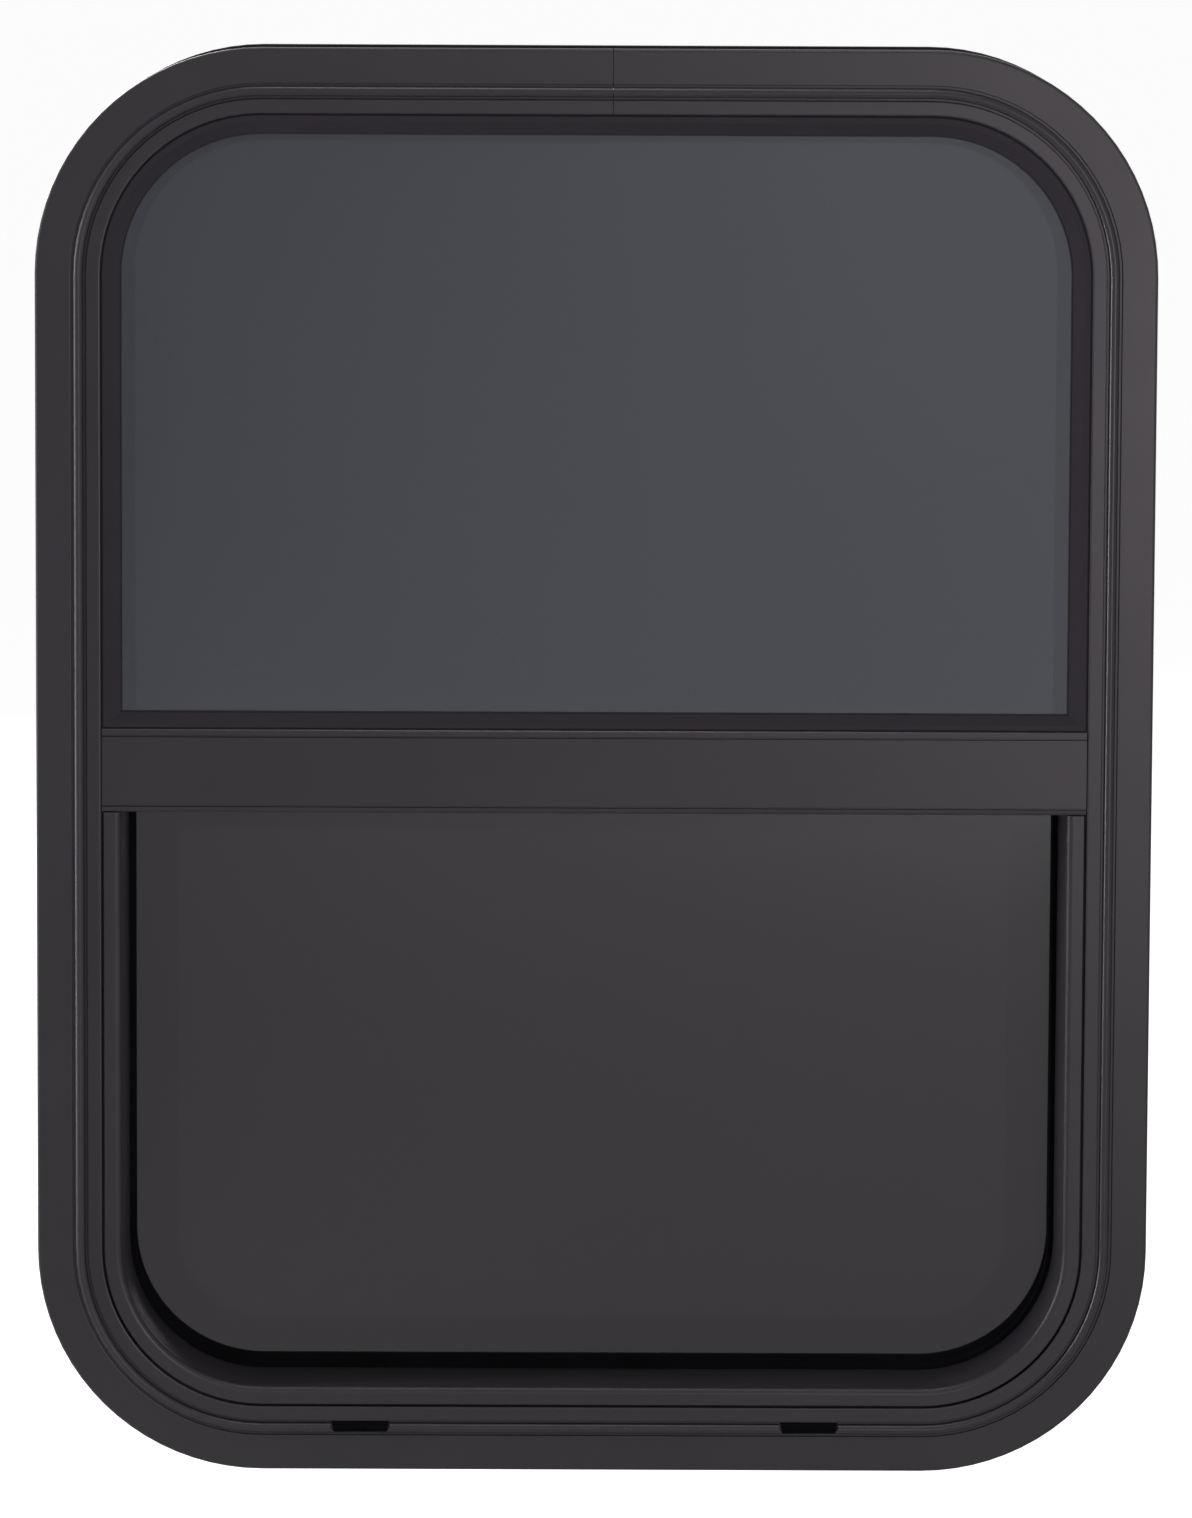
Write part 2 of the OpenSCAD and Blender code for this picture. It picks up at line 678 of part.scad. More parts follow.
// Bolts with a knob that stands out through the housing's slot
module latch_bolts() {
    x0 = -frame_w / 2 + slot_in - 0.4;
    knob_x = latch_slot_x - latch_slot_l / 2 + knob_d / 2 + 0.3;
    color(steel) for (m = [0, 1]) mirror([m, 0, 0]) {
        translate([x0, bolt_depth, latch_z]) rotate([0, 90, 0])
            cylinder(d = bolt_d, h = knob_x + 6 - x0, $fn = 24);
        translate([knob_x, bolt_depth, latch_z]) rotate([-90, 0, 0])
            cylinder(d = knob_d, h = latch_depth + 3.4, $fn = 24);
    }
}

// Area of the screen's frame, or of what lies a distance inside its edge
module screen_area(d) {
    top = screen_top - d;
    intersection() {
        outline(screen_inset + d);
        translate([-frame_w / 2, top - frame_h]) square([frame_w, frame_h]);
    }
}

module screen_frame() {
    spline_in = screen_bar_w - 7;
    color(satin_black) difference() {
        upright(screen_front, screen_front + screen_t) difference() {
            screen_area(0);
            screen_area(screen_bar_w);
        }
        // groove for the spline on the room side
        upright(screen_front + screen_t - 3, screen_front + screen_t + 1) difference() {
            screen_area(spline_in);
            screen_area(spline_in + 3.2);
        }
        // step that the edge of the mesh lies in
        upright(screen_front + screen_t - 0.5, screen_front + screen_t + 1)
            screen_area(spline_in + 3);
    }
}

module screen_mesh() {
    color([0.2, 0.2, 0.2]) upright(screen_front + screen_t - 0.45, screen_front + screen_t - 0.05)
        screen_area(screen_bar_w - 3.5);
}

module screen_spline() {
    color(rubber_black) upright(screen_front + screen_t - 2.9, screen_front + screen_t + 0.1)
        difference() {
            screen_area(screen_bar_w - 6.9);
            screen_area(screen_bar_w - 3.9);
        }
}

// Pull tabs for lifting the screen out
module screen_tabs() {
    color(rubber_black) for (s = [-1, 1])
        translate([s * tab_pitch / 2 - tab_w / 2, screen_front + screen_t,
            screen_top - tab_h - 5]) {
            cube([tab_w, 1.2, tab_h]);
            translate([0, 0, tab_h - 3]) cube([tab_w, tab_grip, 3]);
        }
}

// Section of the clamp ring: a flat band with both edges turned
module ring_section() {
    y1 = wall_depth + ring_t;
    polygon(concat(
        [[ring_out + ring_t, wall_depth], [ring_out + ring_t, wall_depth - ring_edge_h],
            [ring_out, wall_depth - ring_edge_h]],
        arc(ring_out + 1.2, y1 - 1.2, 1.2, 180, 90, 4),
        [[ring_inset - ring_t - 0.6, y1], [ring_inset - ring_t, y1 + 0.6],
            [ring_inset - ring_t, y1 + 1.4], [ring_inset, y1 + 1.4], [ring_inset, wall_depth]]));
}

module clamp_ring() {
    color(satin_black) difference() {
        full_loop() ring_section();
        for (p = screw_places) translate([p[0], wall_depth - 1, p[1]]) rotate([-90, 0, 0])
            cylinder(d = screw_d + 0.6, h = 6, $fn = 24);
    }
}

module ring_screws() {
    color(steel) for (p = screw_places) translate([p[0], 0, p[1]]) rotate([-90, 0, 0]) {
        translate([0, 0, wall_depth - 5]) cylinder(d = screw_d, h = 5 + ring_t + 0.1, $fn = 24);
        translate([0, 0, wall_depth + ring_t])
            cylinder(d1 = screw_head_d, d2 = screw_head_d - 3, h = 2.4, $fn = 24);
    }
}

outer_frame();
seam_plate();
seam_rivets();
upper_glass();
upper_gasket();
rail_gasket();
glass_tape();
setting_blocks();
infill_strip();
middle_rail();
rail_pile();
rail_screws();
sash_glass();
sash_rail();
sash_rail_liner();
jamb_seal_left();
jamb_seal_right();
sill_seal();
head_seal();
travel_stops();
latch_left();
latch_right();
latch_bolts();
screen_frame();
screen_mesh();
screen_spline();
screen_tabs();
clamp_ring();
ring_screws();
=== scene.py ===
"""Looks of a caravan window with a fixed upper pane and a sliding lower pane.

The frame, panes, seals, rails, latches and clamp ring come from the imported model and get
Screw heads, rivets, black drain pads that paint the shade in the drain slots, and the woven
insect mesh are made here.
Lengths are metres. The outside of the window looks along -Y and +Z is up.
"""
import json
import math

import bmesh
import bpy
from mathutils import Matrix, Vector


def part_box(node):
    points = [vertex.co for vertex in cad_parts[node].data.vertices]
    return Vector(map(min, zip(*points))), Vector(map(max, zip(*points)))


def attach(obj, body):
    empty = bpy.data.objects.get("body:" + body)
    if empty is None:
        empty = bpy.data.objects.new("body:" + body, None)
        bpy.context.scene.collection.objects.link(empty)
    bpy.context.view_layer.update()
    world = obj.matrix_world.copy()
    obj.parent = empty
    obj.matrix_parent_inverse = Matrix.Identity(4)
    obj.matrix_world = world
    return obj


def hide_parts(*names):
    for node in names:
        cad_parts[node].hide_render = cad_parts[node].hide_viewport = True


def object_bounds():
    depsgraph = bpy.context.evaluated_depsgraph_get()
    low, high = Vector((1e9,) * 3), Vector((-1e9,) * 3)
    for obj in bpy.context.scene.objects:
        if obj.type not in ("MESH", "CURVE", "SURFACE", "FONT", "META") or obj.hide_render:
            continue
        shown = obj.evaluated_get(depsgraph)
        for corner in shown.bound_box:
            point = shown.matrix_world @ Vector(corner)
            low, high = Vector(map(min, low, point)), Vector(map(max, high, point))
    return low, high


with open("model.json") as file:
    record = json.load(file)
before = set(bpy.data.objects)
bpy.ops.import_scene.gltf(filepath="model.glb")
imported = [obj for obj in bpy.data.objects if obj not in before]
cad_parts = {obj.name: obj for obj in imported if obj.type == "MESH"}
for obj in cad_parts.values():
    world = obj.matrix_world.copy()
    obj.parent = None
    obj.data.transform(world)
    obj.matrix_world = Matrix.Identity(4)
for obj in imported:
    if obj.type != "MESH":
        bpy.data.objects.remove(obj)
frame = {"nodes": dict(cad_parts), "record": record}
cad_low, cad_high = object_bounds()
scene = bpy.context.scene

MM = 0.001
PHOTO_H = 1518


# Node groups
def new_group(name, inputs, outputs):
    """A shader node group with named inputs (kind, value) and outputs (kind)."""
    group = bpy.data.node_groups.new(name, "ShaderNodeTree")
    for socket, (kind, value) in inputs.items():
        item = group.interface.new_socket(socket, in_out="INPUT", socket_type=kind)
        if value is not None:
            item.default_value = value
    for socket, kind in outputs.items():
        group.interface.new_socket(socket, in_out="OUTPUT", socket_type=kind)
    return group, Nodes(group)


class Nodes:
    """Short ways to add and join the nodes of one tree."""

    def __init__(self, tree):
        self.tree = tree

    def add(self, kind, **settings):
        """A shader node of a kind, with its settings."""
        node = self.tree.nodes.new("ShaderNode" + kind)
        for key, value in settings.items():
            setattr(node, key, value)
        return node

    def port(self, kind):
        """The Input or Output node of a group."""
        return self.tree.nodes.new("NodeGroup" + kind)

    def join(self, out, into):
        """A link from one socket to another."""
        self.tree.links.new(out, into)

    def feed(self, value, into):
        """Joins a socket, or sets a plain value."""
        if isinstance(value, bpy.types.NodeSocket):
            self.join(value, into)
        else:
            into.default_value = value

    def noise(self, vector, scale, detail, rough):
        """Grey noise at a place, as a value from 0 to 1."""
        node = self.add("TexNoise")
        self.feed(vector, node.inputs["Vector"])
        self.feed(scale, node.inputs["Scale"])
        node.inputs["Detail"].default_value = detail
        node.inputs["Roughness"].default_value = rough
        return node.outputs["Fac"]

    def math(self, kind, a, b):
        """Two values joined by a named operation."""
        node = self.add("Math", operation=kind)
        self.feed(a, node.inputs[0])
        self.feed(b, node.inputs[1])
        return node.outputs[0]

    def spread(self, value, low, high, out_low, out_high):
        """A value from one range carried over to another, held at both ends."""
        node = self.add("MapRange")
        for index, part in enumerate((value, low, high, out_low, out_high)):
            self.feed(part, node.inputs[index])
        return node.outputs[0]

    def blend(self, amount, a, b):
        """A colour between a and b."""
        node = self.add("Mix", data_type="RGBA")
        self.feed(amount, node.inputs[0])
        self.feed(a, node.inputs[6])
        self.feed(b, node.inputs[7])
        return node.outputs[2]


COLOUR = "NodeSocketColor"
NUMBER = "NodeSocketFloat"
VECTOR = "NodeSocketVector"


def make_coat_group():
    """Fine grain with slow mottling, for powder coat, rubber and moulded plastic."""
    group, n = new_group(
        "fine_coat",
        {
            "Place": (VECTOR, None),
            "Dark": (COLOUR, (0.02, 0.02, 0.02, 1)),
            "Light": (COLOUR, (0.03, 0.03, 0.03, 1)),
            "Grain Scale": (NUMBER, 1500.0),
            "Mottle Scale": (NUMBER, 14.0),
            "Rough Low": (NUMBER, 0.35),
            "Rough High": (NUMBER, 0.45),
        },
        {"Colour": COLOUR, "Roughness": NUMBER, "Height": NUMBER},
    )
    inside = n.port("Input")
    out = n.port("Output")
    place = inside.outputs["Place"]
    grain = n.noise(place, inside.outputs["Grain Scale"], 3.0, 0.55)
    mottle = n.noise(place, inside.outputs["Mottle Scale"], 4.0, 0.6)
    tone = n.math("ADD", n.math("MULTIPLY", grain, 0.45), n.math("MULTIPLY", mottle, 0.55))
    tone = n.spread(tone, 0.35, 0.65, 0.0, 1.0)
    n.join(n.blend(tone, inside.outputs["Dark"], inside.outputs["Light"]), out.inputs["Colour"])
    rough = n.spread(mottle, 0.3, 0.7, inside.outputs["Rough Low"], inside.outputs["Rough High"])
    n.join(rough, out.inputs["Roughness"])
    n.join(grain, out.inputs["Height"])
    return group


def make_draw_group():
    """Fine lines that run one way, for drawn aluminium and turned steel."""
    group, n = new_group(
        "drawn_lines",
        {
            "Place": (VECTOR, None),
            "Dark": (COLOUR, (0.4, 0.4, 0.4, 1)),
            "Light": (COLOUR, (0.6, 0.6, 0.6, 1)),
            "Line Scale": (NUMBER, 900.0),
        },
        {"Colour": COLOUR, "Roughness": NUMBER, "Height": NUMBER},
    )
    inside = n.port("Input")
    out = n.port("Output")
    stretch = n.add("VectorMath", operation="MULTIPLY")
    n.join(inside.outputs["Place"], stretch.inputs[0])
    stretch.inputs[1].default_value = (0.03, 1.0, 1.0)
    lines = n.noise(stretch.outputs[0], inside.outputs["Line Scale"], 4.0, 0.6)
    cloud = n.noise(inside.outputs["Place"], 40.0, 3.0, 0.5)
    tone = n.spread(n.math("ADD", lines, n.math("MULTIPLY", cloud, 0.5)), 0.5, 1.0, 0.0, 1.0)
    n.join(n.blend(tone, inside.outputs["Dark"], inside.outputs["Light"]), out.inputs["Colour"])
    n.join(n.spread(lines, 0.3, 0.7, 0.28, 0.46), out.inputs["Roughness"])
    n.join(lines, out.inputs["Height"])
    return group


def make_pane_group():
    """Slow drift of tint and a very slow waviness, for rolled and tempered glass."""
    group, n = new_group(
        "tempered_sheet",
        {
            "Place": (VECTOR, None),
            "Dark": (COLOUR, (0.02, 0.02, 0.02, 1)),
            "Light": (COLOUR, (0.03, 0.03, 0.03, 1)),
        },
        {"Colour": COLOUR, "Roughness": NUMBER, "Height": NUMBER},
    )
    inside = n.port("Input")
    out = n.port("Output")
    place = inside.outputs["Place"]
    tone = n.spread(n.noise(place, 3.0, 2.0, 0.5), 0.3, 0.7, 0.0, 1.0)
    n.join(n.blend(tone, inside.outputs["Dark"], inside.outputs["Light"]), out.inputs["Colour"])
    n.join(n.spread(n.noise(place, 4.0, 1.0, 0.5), 0.3, 0.7, 0.02, 0.03), out.inputs["Roughness"])
    n.join(n.noise(place, 5.0, 0.0, 0.4), out.inputs["Height"])
    return group


COAT = make_coat_group()
DRAWN = make_draw_group()
PANE = make_pane_group()


# Materials
def start_material(name):
    """A material with its node helper, its shader and the object's coordinates."""
    material = bpy.data.materials.new(name)
    material.use_nodes = True
    n = Nodes(material.node_tree)
    shader = material.node_tree.nodes["Principled BSDF"]
    place = n.add("TexCoord").outputs["Object"]
    return material, n, shader, place


def dress(material, n, shader, group, values, bump, height):
    """Puts a finish group on a shader, with its grain as bump."""
    node = n.add("Group", node_tree=group)
    for key, value in values.items():
        n.feed(value, node.inputs[key])
    n.join(node.outputs["Colour"], shader.inputs["Base Color"])
    n.join(node.outputs["Roughness"], shader.inputs["Roughness"])
    relief = n.add("Bump")
    relief.inputs["Strength"].default_value = bump
    relief.inputs["Distance"].default_value = height
    n.join(node.outputs["Height"], relief.inputs["Height"])
    n.join(relief.outputs["Normal"], shader.inputs["Normal"])
    return material


def coated(name, dark, light, rough, grain, mottle, bump, height, **sockets):
    """Powder coat, rubber or plastic: rough is a range, grain and mottle are scales."""
    material, n, shader, place = start_material(name)
    values = {
        "Place": place,
        "Dark": (*dark, 1),
        "Light": (*light, 1),
        "Grain Scale": grain,
        "Mottle Scale": mottle,
        "Rough Low": rough[0],
        "Rough High": rough[1],
    }
    for socket, value in sockets.items():
        shader.inputs[socket.replace("_", " ")].default_value = value
    return dress(material, n, shader, COAT, values, bump, height)


def metal(name, dark, light, lines):
    """Bare drawn or turned metal with fine lines at a scale."""
    material, n, shader, place = start_material(name)
    values = {"Place": place, "Dark": (*dark, 1), "Light": (*light, 1), "Line Scale": lines}
    shader.inputs["Metallic"].default_value = 1.0
    return dress(material, n, shader, DRAWN, values, 0.25, 0.00003)


def tinted_pane(name, dark, light, clear, tint):
    """Dark safety glass: clear is its transmission, and tint colours its reflections."""
    material, n, shader, place = start_material(name)
    values = {"Place": place, "Dark": (*dark, 1), "Light": (*light, 1)}
    shader.inputs["Transmission Weight"].default_value = clear
    shader.inputs["IOR"].default_value = 1.5
    shader.inputs["Specular Tint"].default_value = (*tint, 1)
    return dress(material, n, shader, PANE, values, 0.05, 0.0002)


def brush_pile(name):
    """Dense upright fibres of a brush seal."""
    material, n, shader, place = start_material(name)
    squeeze = n.add("VectorMath", operation="MULTIPLY")
    n.join(place, squeeze.inputs[0])
    squeeze.inputs[1].default_value = (1.0, 0.12, 0.6)
    fibres = n.noise(squeeze.outputs[0], 2600.0, 3.0, 0.7)
    tone = n.spread(fibres, 0.35, 0.65, 0.0, 1.0)
    colour = n.blend(tone, (0.006, 0.006, 0.006, 1), (0.03, 0.03, 0.031, 1))
    n.join(colour, shader.inputs["Base Color"])
    n.join(n.spread(fibres, 0.3, 0.7, 0.8, 0.95), shader.inputs["Roughness"])
    shader.inputs["Sheen Weight"].default_value = 0.4
    relief = n.add("Bump")
    relief.inputs["Strength"].default_value = 0.8
    relief.inputs["Distance"].default_value = 0.0004
    n.join(fibres, relief.inputs["Height"])
    n.join(relief.outputs["Normal"], shader.inputs["Normal"])
    return material


FINISHES = {
    "frame_coating": coated(
        "satin_black_powder_coat",
        (0.0318, 0.0283, 0.0340),
        (0.0377, 0.0337, 0.0402),
        (0.29, 0.34),
        1700.0,
        9.0,
        bump=0.35,
        height=0.00006,
        Specular_IOR_Level=0.22,
        Specular_Tint=(1.0, 0.92, 1.0, 1.0),
    ),
    "black_rubber": coated(
        "black_rubber",
        (0.0222, 0.0190, 0.0240),
        (0.0282, 0.0243, 0.0305),
        (0.50, 0.62),
        2300.0,
        22.0,
        bump=0.3,
        height=0.00004,
        Specular_IOR_Level=0.15,
        Specular_Tint=(1.0, 0.90, 1.0, 1.0),
    ),
    "flocked_rubber": coated(
        "flocked_rubber",
        (0.0050, 0.0044, 0.0054),
        (0.0080, 0.0072, 0.0085),
        (0.90, 0.97),
        3200.0,
        40.0,
        bump=0.6,
        height=0.00008,
        Specular_IOR_Level=0.02,
    ),
    "foam_tape": coated(
        "foam_tape",
        (0.012, 0.012, 0.012),
        (0.030, 0.030, 0.030),
        (0.85, 0.95),
        3000.0,
        60.0,
        bump=0.7,
        height=0.0001,
    ),
    "latch_plastic": coated(
        "moulded_black_plastic",
        (0.012, 0.012, 0.0125),
        (0.019, 0.019, 0.0195),
        (0.44, 0.54),
        2600.0,
        30.0,
        bump=0.5,
        height=0.00006,
    ),
    "black_screws": coated(
        "black_plated_screws",
        (0.012, 0.012, 0.013),
        (0.026, 0.026, 0.028),
        (0.26, 0.36),
        1500.0,
        70.0,
        bump=0.2,
        height=0.00003,
        Metallic=0.6,
    ),
    "screen_fabric": coated(
        "glass_fibre_thread",
        (0.022, 0.022, 0.023),
        (0.045, 0.045, 0.047),
        (0.50, 0.62),
        4000.0,
        90.0,
        bump=0.2,
        height=0.00003,
    ),
    "bare_aluminium": metal("mill_aluminium", (0.50, 0.50, 0.51), (0.68, 0.68, 0.69), 1100.0),
    "screw_steel": metal("zinc_plated_steel", (0.42, 0.42, 0.45), (0.60, 0.60, 0.62), 1600.0),
    "tinted_glass": tinted_pane(
        "tinted_glass",
        (0.074, 0.080, 0.102),
        (0.082, 0.088, 0.111),
        0.4,
        (0.92, 0.95, 1.0),
    ),
    "grey_glass": tinted_pane(
        "grey_glass",
        (0.0310, 0.0275, 0.0328),
        (0.0350, 0.0312, 0.0368),
        0.35,
        (0.86, 0.80, 0.86),
    ),
    "pile": brush_pile("brush_pile"),
}

SLOT_OF = {part["node"]: part["material_slot"] for part in frame["record"]["subparts"]}
for node_name, node_object in frame["nodes"].items():
    finish = FINISHES[SLOT_OF[node_name]]
    if not node_object.material_slots:
        node_object.data.materials.append(finish)
    for material_slot in node_object.material_slots:
        material_slot.material = finish


# New pieces
def keep_piece(name, bm, slot_name, *replaced):
    """Turns a bmesh into a piece that rides on the window and takes a record finish."""
    mesh = bpy.data.meshes.new(name)
    bm.to_mesh(mesh)
    bm.free()
    piece = bpy.data.objects.new(name, mesh)
    scene.collection.objects.link(piece)
    mesh.materials.append(FINISHES[slot_name])
    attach(piece, "root")
    if replaced:
        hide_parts(*replaced)
    return piece


RING_POINTS = 24
CROSS_HALF_ANGLE = 15
RING_HEAD_HIGH = 2.4 * MM
RAIL_HEAD_HIGH = 2.2 * MM
RAIL_POINT_LONG = 2.5 * MM
SHARP_ANGLE = 38
# Share of the depth and share of the reach at each step down into a cross recess
RECESS_STEPS = ((0.0, 1.0), (0.75, 0.86), (1.0, 0.42))


def cross_reach(angle, reach):
    """Distance from the middle to the edge of a cross-shaped recess at an angle."""
    half = reach * math.tan(math.radians(CROSS_HALF_ANGLE))
    folded = abs((angle + math.pi / 4) % (math.pi / 2) - math.pi / 4)
    if folded < math.radians(CROSS_HALF_ANGLE + 0.5):
        return reach / math.cos(folded)
    return half / math.sin(folded)


def inner_edges(ring):
    """Edges that have both ends in a ring of vertices, each named once."""
    linked = dict.fromkeys(e for v in ring for e in v.link_edges)
    return [e for e in linked if all(w in ring for w in e.verts)]


def turned(bm, place, profile, recess=None):
    """A turned form from rings of (radius, height), with a recess of (reach, depth) if given.

    place is a matrix that takes the form's axis, local +Z, to its seat on the window.
    """
    start = bmesh.ops.create_circle(bm, segments=RING_POINTS, radius=profile[0][0])
    made = list(start["verts"])
    ring = made
    bmesh.ops.translate(bm, verts=ring, vec=(0, 0, profile[0][1]))
    steps = [(radius, height, None) for radius, height in profile[1:]]
    if recess:
        reach, depth = recess
        top = profile[-1][1]
        steps += [(0, top - depth * down, reach * wide) for down, wide in RECESS_STEPS]
    for radius, height, cross in steps:
        pulled = bmesh.ops.extrude_edge_only(bm, edges=inner_edges(ring))["geom"]
        ring = [v for v in pulled if isinstance(v, bmesh.types.BMVert)]
        made += ring
        for v in ring:
            angle = math.atan2(v.co.y, v.co.x)
            size = cross_reach(angle, cross) if cross else radius
            v.co = Vector((size * math.cos(angle), size * math.sin(angle), height))
    bmesh.ops.holes_fill(bm, edges=inner_edges(ring), sides=0)
    bmesh.ops.transform(bm, matrix=place, verts=made)


def seat(x, y, z, direction):
    """Matrix that sets a turned form at a place, with its top towards a direction."""
    turn = Vector(direction).to_track_quat("Z", "Y").to_matrix().to_4x4()
    return Matrix.Translation((x, y, z)) @ turn


def smooth_by_angle(piece):
    """Shades a finished mesh smooth except across its sharp edges."""
    mesh = piece.data
    mesh.shade_smooth()
    mesh.set_sharp_from_angle(angle=math.radians(SHARP_ANGLE))


def keep_turned(name, bm, slot_name, replaced):
    """Keeps a set of turned forms as one smooth piece with its normals outward."""
    bmesh.ops.recalc_face_normals(bm, faces=bm.faces)
    smooth_by_angle(keep_piece(name, bm, slot_name, replaced))


def node_islands(name):
    """Lowest and highest corners of each separate solid of a CAD node."""
    mesh = frame["nodes"][name].data
    bm = bmesh.new()
    bm.from_mesh(mesh)
    bmesh.ops.remove_doubles(bm, verts=bm.verts, dist=1e-6)
    left = set(bm.verts)
    boxes = []
    while left:
        group = {left.pop()}
        front = list(group)
        while front:
            for e in front.pop().link_edges:
                for w in e.verts:
                    if w not in group:
                        group.add(w)
                        front.append(w)
        left -= group
        low = Vector([min(v.co[i] for v in group) for i in range(3)])
        high = Vector([max(v.co[i] for v in group) for i in range(3)])
        boxes.append((low, high))
    bm.free()
    return sorted(boxes, key=lambda b: tuple(round(c, 5) for c in b[0]))


def make_ring_screws():
    """Pan-head screws that hold the clamp ring, each turned a little differently."""
    bm = bmesh.new()
    for index, (low, high) in enumerate(node_islands("ring_screws")):
        middle = (low + high) / 2
        base = high.y - RING_HEAD_HIGH
        turn = Matrix.Rotation(math.radians(index * 47 % 90), 4, "Z")
        place = seat(middle.x, base, middle.z, (0, 1, 0)) @ turn
        profile = [
            (2.1 * MM, -6.0 * MM),
            (2.1 * MM, 0.0),
            (4.2 * MM, 0.0),
            (4.2 * MM, 0.75 * MM),
            (3.95 * MM, 1.45 * MM),
            (3.3 * MM, 2.0 * MM),
            (2.55 * MM, 2.3 * MM),
        ]
        turned(bm, place, profile, (2.1 * MM, 1.7 * MM))
    keep_turned("ring_screw_set", bm, "black_screws", "ring_screws")


def make_rail_screws():
    """Cross-recess screws driven through the frame into the ends of the middle rail."""
    bm = bmesh.new()
    for index, (low, high) in enumerate(node_islands("rail_screws")):
        middle = (low + high) / 2
        side = 1 if middle.x > 0 else -1
        tip = low.x if side > 0 else high.x
        top = high.x if side > 0 else low.x
        length = abs(top - tip) - RAIL_HEAD_HIGH
        turn = Matrix.Rotation(math.radians(index * 31), 4, "Z")
        under_head = top - side * RAIL_HEAD_HIGH
        place = seat(under_head, middle.y, middle.z, (side, 0, 0)) @ turn
        profile = [
            (0.6 * MM, -length),
            (1.75 * MM, -length + RAIL_POINT_LONG),
            (1.75 * MM, 0.0),
            (3.8 * MM, 0.0),
            (3.8 * MM, 0.6 * MM),
            (3.4 * MM, 1.5 * MM),
            (2.6 * MM, 2.1 * MM),
        ]
        turned(bm, place, profile, (1.8 * MM, 1.5 * MM))
    keep_turned("rail_screw_set", bm, "screw_steel", "rail_screws")


def make_rivets():
    """Domed blind rivets of the joining plate, each with the hollow left by its pin."""
    bm = bmesh.new()
    for low, high in node_islands("seam_rivets"):
        middle = (low + high) / 2
        place = seat(middle.x, middle.y, low.z, (0, 0, 1))
        profile = [
            (3.5 * MM, 0.0),
            (3.5 * MM, 0.25 * MM),
            (3.1 * MM, 0.75 * MM),
            (2.4 * MM, 1.15 * MM),
            (1.6 * MM, 1.36 * MM),
            (1.15 * MM, 1.38 * MM),
            (1.0 * MM, 1.2 * MM),
            (1.0 * MM, 0.6 * MM),
        ]
        turned(bm, place, profile)
    keep_turned("rivet_set", bm, "bare_aluminium", "seam_rivets")


THREAD_PITCH = 2.1 * MM
THREAD_THICK = 0.30 * MM
THREAD_OFFSET = 0.08 * MM
MESH_CORNER = 47.0 * MM


def make_insect_mesh():
    """Crossed threads of the insect mesh, cut to the rounded outline of its CAD sheet."""
    low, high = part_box("screen_mesh")
    mid_y = (low[1] + high[1]) / 2
    bm = bmesh.new()

    def thread(a, b, across):
        """A straight thread from a to b with a flat square section."""
        made = bmesh.ops.create_cube(bm, size=1.0)["verts"]
        size = [THREAD_THICK if i != across else b[i] - a[i] for i in range(3)]
        bmesh.ops.scale(bm, vec=size, verts=made)
        bmesh.ops.translate(bm, vec=[(a[i] + b[i]) / 2 for i in range(3)], verts=made)

    columns = int((high[0] - low[0]) / THREAD_PITCH)
    first = -(columns - 1) / 2 * THREAD_PITCH
    for i in range(columns):
        x = first + i * THREAD_PITCH
        past = max(0.0, abs(x) - (high[0] - MESH_CORNER))
        bottom = low[2] + MESH_CORNER - math.sqrt(max(0.0, MESH_CORNER**2 - past**2))
        y = mid_y - THREAD_OFFSET
        thread((x, y, bottom), (x, y, high[2]), 2)
    rows = int((high[2] - low[2]) / THREAD_PITCH)
    for i in range(rows):
        z = high[2] - (i + 0.5) * THREAD_PITCH
        past = max(0.0, low[2] + MESH_CORNER - z)
        half = high[0] - MESH_CORNER + math.sqrt(max(0.0, MESH_CORNER**2 - past**2))
        y = mid_y + THREAD_OFFSET
        thread((-half, y, z), (half, y, z), 0)
    keep_piece("insect_mesh_threads", bm, "screen_fabric", "screen_mesh")


# Black pads in the drain slots, painted shade that darkens them: PAD_BACK is the depth of their
# back, PAD_RISE the height of their lower edge over the window's lowest edge, and PAD_TAPER
# widens their upper edge
PAD_MIDDLES = (-115.4 * MM, 108.6 * MM)
PAD_LONG = 26.1 * MM
PAD_HIGH = 4.95 * MM
PAD_THICK = 1.2 * MM
PAD_BACK = -0.7 * MM
PAD_RISE = 19.35 * MM
PAD_TAPER = 1.1


def make_drain_shade_pads():
    """Black flocked pads that lie in the two drain slots as painted shade, darkening them."""
    low_z = cad_low[2] + PAD_RISE
    bm = bmesh.new()
    for middle in PAD_MIDDLES:
        made = bmesh.ops.create_cube(bm, size=1.0)["verts"]
        bmesh.ops.scale(bm, vec=(PAD_LONG, PAD_THICK, PAD_HIGH), verts=made)
        upper = [v for v in made if v.co.z > 0]
        bmesh.ops.scale(bm, vec=(PAD_TAPER, 1, 1), verts=upper)
        place = (middle, PAD_BACK - PAD_THICK / 2, low_z + PAD_HIGH / 2)
        bmesh.ops.translate(bm, vec=place, verts=made)
    keep_piece("drain_shade_pad_set", bm, "flocked_rubber")


make_ring_screws()
make_rail_screws()
make_rivets()
make_insect_mesh()
make_drain_shade_pads()


# Floor, light and camera
# FLOOR_GLOW is the floor's glow to the camera and through glass; the others are for reflections,
# where the floor carries painted shade, softer towards the left and close to the window
FLOOR_HALF_WIDTH = 30.0
FLOOR_DROP = 0.06
FLOOR_TONE = 0.7
FLOOR_GLOW = 0.88
GLOW_HALF_WIDTH = 0.5
GLOW_FAR_Y = -2.8
GLOW_NEAR_Y = -0.6
LEFT_PAINTED_SHADE_GLOW = 0.58
NEAR_PAINTED_SHADE_GLOW = 0.70
WORLD_LIGHT = 0.13


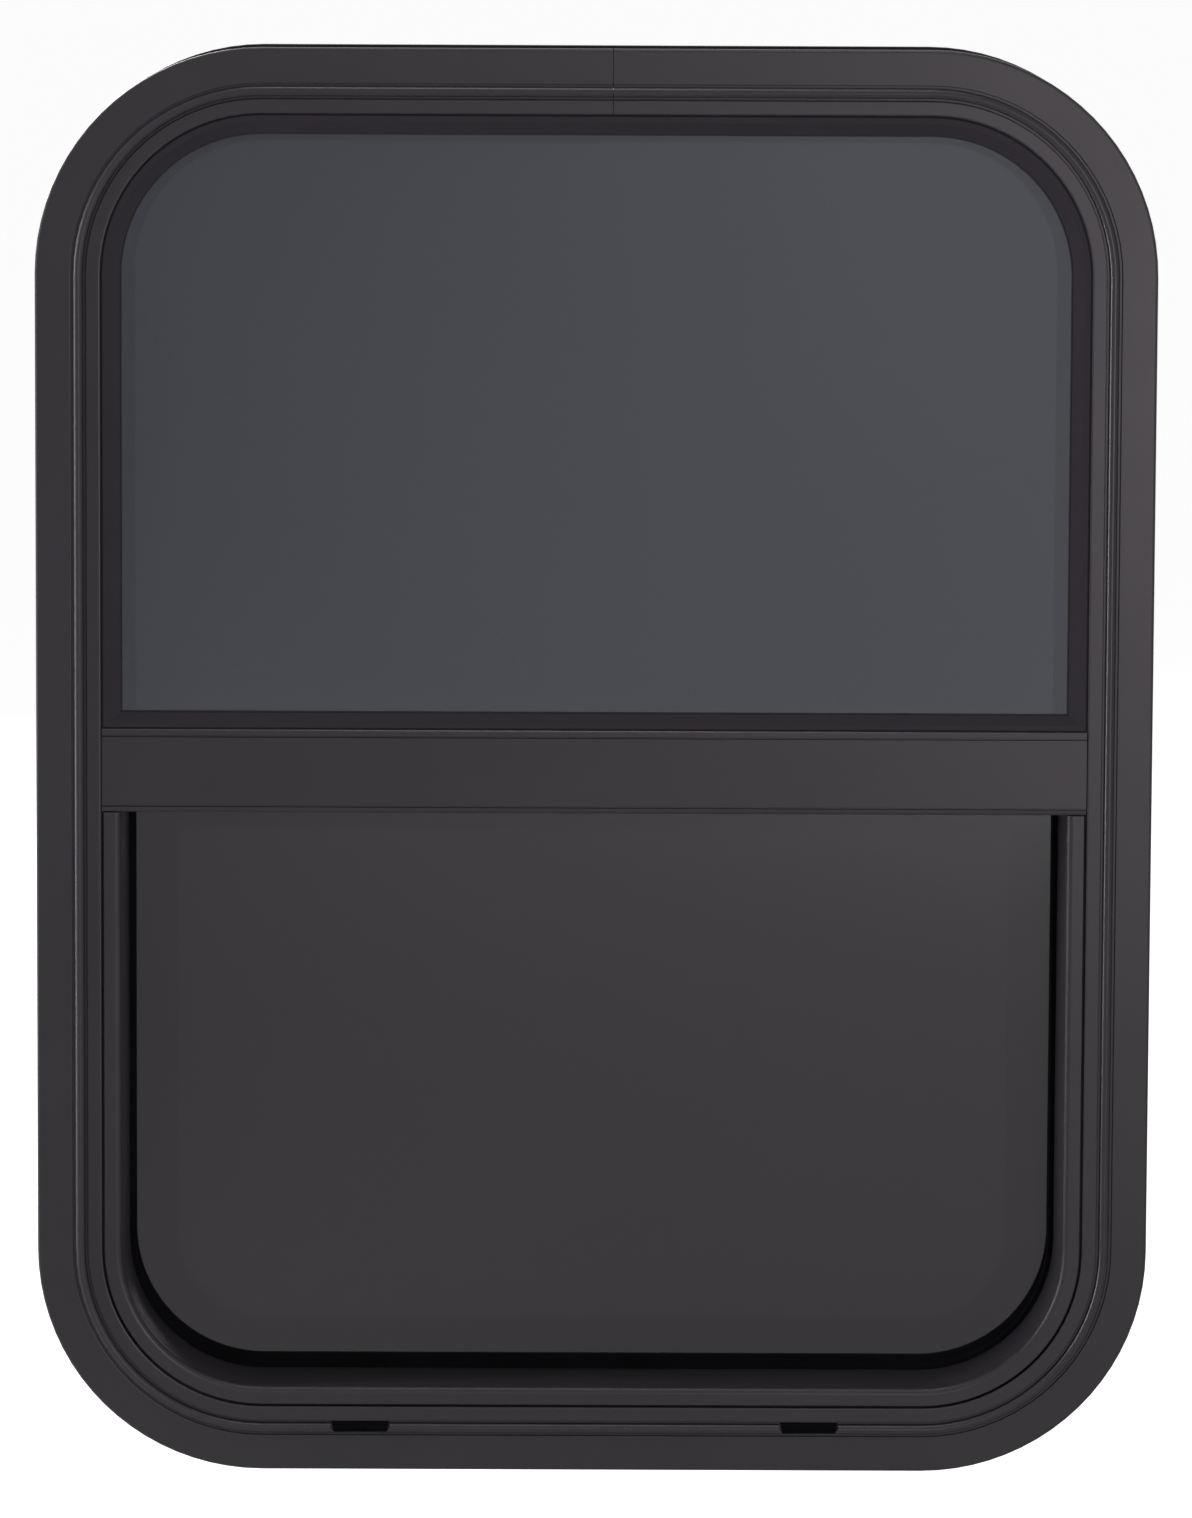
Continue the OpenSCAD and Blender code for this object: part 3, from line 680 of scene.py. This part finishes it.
def seen_directly(n):
    """1 where a ray comes from the camera, a reflection or through glass."""
    rays = n.add("LightPath").outputs
    seen = n.math("MAXIMUM", rays["Is Camera Ray"], rays["Is Glossy Ray"])
    return n.math("MAXIMUM", seen, rays["Is Transmission Ray"])


def floor_glow(n):
    """White where the floor is seen; in reflections it carries painted shade, softer on the left
    and close by.
    """
    path = n.add("LightPath")
    part = n.add("SeparateXYZ")
    n.join(n.add("TexCoord").outputs["Object"], part.inputs[0])
    half = GLOW_HALF_WIDTH
    # Painted shade in reflections: the reflected glow falls off towards the left and towards the
    # window
    across = n.spread(part.outputs[0], -half, half, LEFT_PAINTED_SHADE_GLOW, 1.0)
    along = n.spread(part.outputs[1], GLOW_FAR_Y, GLOW_NEAR_Y, 1.0, NEAR_PAINTED_SHADE_GLOW)
    painted_reflection_shade = n.math("MULTIPLY", across, along)
    level = n.spread(path.outputs["Is Glossy Ray"], 0.0, 1.0, FLOOR_GLOW, painted_reflection_shade)
    return n.math("MULTIPLY", seen_directly(n), level)


def make_floor():
    """A white floor below the window, with painted shade in its reflections."""
    bm = bmesh.new()
    bmesh.ops.create_grid(bm, x_segments=1, y_segments=1, size=FLOOR_HALF_WIDTH)
    bmesh.ops.translate(bm, vec=(0, 0, cad_low[2] - FLOOR_DROP), verts=bm.verts)
    mesh = bpy.data.meshes.new("floor")
    bm.to_mesh(mesh)
    bm.free()
    floor = bpy.data.objects.new("floor", mesh)
    scene.collection.objects.link(floor)
    material = bpy.data.materials.new("white_floor")
    material.use_nodes = True
    n = Nodes(material.node_tree)
    shader = material.node_tree.nodes["Principled BSDF"]
    shader.inputs["Base Color"].default_value = (FLOOR_TONE, FLOOR_TONE, FLOOR_TONE, 1)
    shader.inputs["Roughness"].default_value = 1.0
    shader.inputs["Specular IOR Level"].default_value = 0.0
    shader.inputs["Emission Color"].default_value = (1, 1, 1, 1)
    n.join(floor_glow(n), shader.inputs["Emission Strength"])
    mesh.materials.append(material)


def make_world():
    """Even studio light, with white where it is seen directly."""
    world = bpy.data.worlds.new("studio")
    scene.world = world
    world.use_nodes = True
    tree = world.node_tree
    n = Nodes(tree)
    background = tree.nodes["Background"]
    background.inputs["Color"].default_value = (1, 1, 1, 1)
    strength = n.spread(seen_directly(n), 0.0, 1.0, WORLD_LIGHT, 1.0)
    n.join(strength, background.inputs["Strength"])


def make_lamp(name, place, aim, width, height, power):
    """A soft white rectangular lamp that points at a spot."""
    lamp = bpy.data.lights.new(name, "AREA")
    lamp.shape = "RECTANGLE"
    lamp.size = width
    lamp.size_y = height
    lamp.energy = power
    holder = bpy.data.objects.new(name, lamp)
    scene.collection.objects.link(holder)
    holder.location = place
    holder.rotation_euler = (Vector(aim) - Vector(place)).to_track_quat("-Z", "Y").to_euler()


def make_camera():
    """The photograph's camera: far off, a little above the window's middle."""
    elevation = math.radians(7.48)
    azimuth = math.radians(-0.27)
    roll = math.radians(0.27)
    distance = 4.457
    focal_pixels = 9009.0
    target = Vector((0.0008, 0.0, 0.00365))
    back = Vector((
        math.sin(azimuth) * math.cos(elevation),
        -math.cos(azimuth) * math.cos(elevation),
        math.sin(elevation),
    ))
    side = Vector((0, 0, 1)).cross(back).normalized()
    up = back.cross(side)
    right = side * math.cos(roll) + up * math.sin(roll)
    top = up * math.cos(roll) - side * math.sin(roll)
    data = bpy.data.cameras.new("camera")
    data.sensor_width = 36.0
    data.sensor_fit = "AUTO"
    data.lens = focal_pixels / PHOTO_H * data.sensor_width
    data.clip_start = 0.1
    data.clip_end = 100.0
    camera = bpy.data.objects.new("camera", data)
    scene.collection.objects.link(camera)
    turn = Matrix((right, top, back)).transposed().to_4x4()
    camera.matrix_world = Matrix.Translation(target + back * distance) @ turn
    scene.camera = camera


make_floor()
make_world()
# Name, place, the spot that it points at, width, height and power in watts
make_lamp("near", (0.95, -3.35, 0.05), (0, 0, 0), 0.8, 0.8, 27.5)
make_lamp("side", (-1.5, -0.11, 0.0), (0, 0, 0), 0.16, 1.2, 21.0)
make_lamp("top", (-0.1, -0.10, 1.5), (0, 0, 0.2), 1.2, 0.16, 8.0)
make_lamp("room", (-1.2, 2.6, 1.0), (0, 0, 0), 1.4, 1.4, 45.0)
make_camera()

scene.view_settings.view_transform = "Standard"
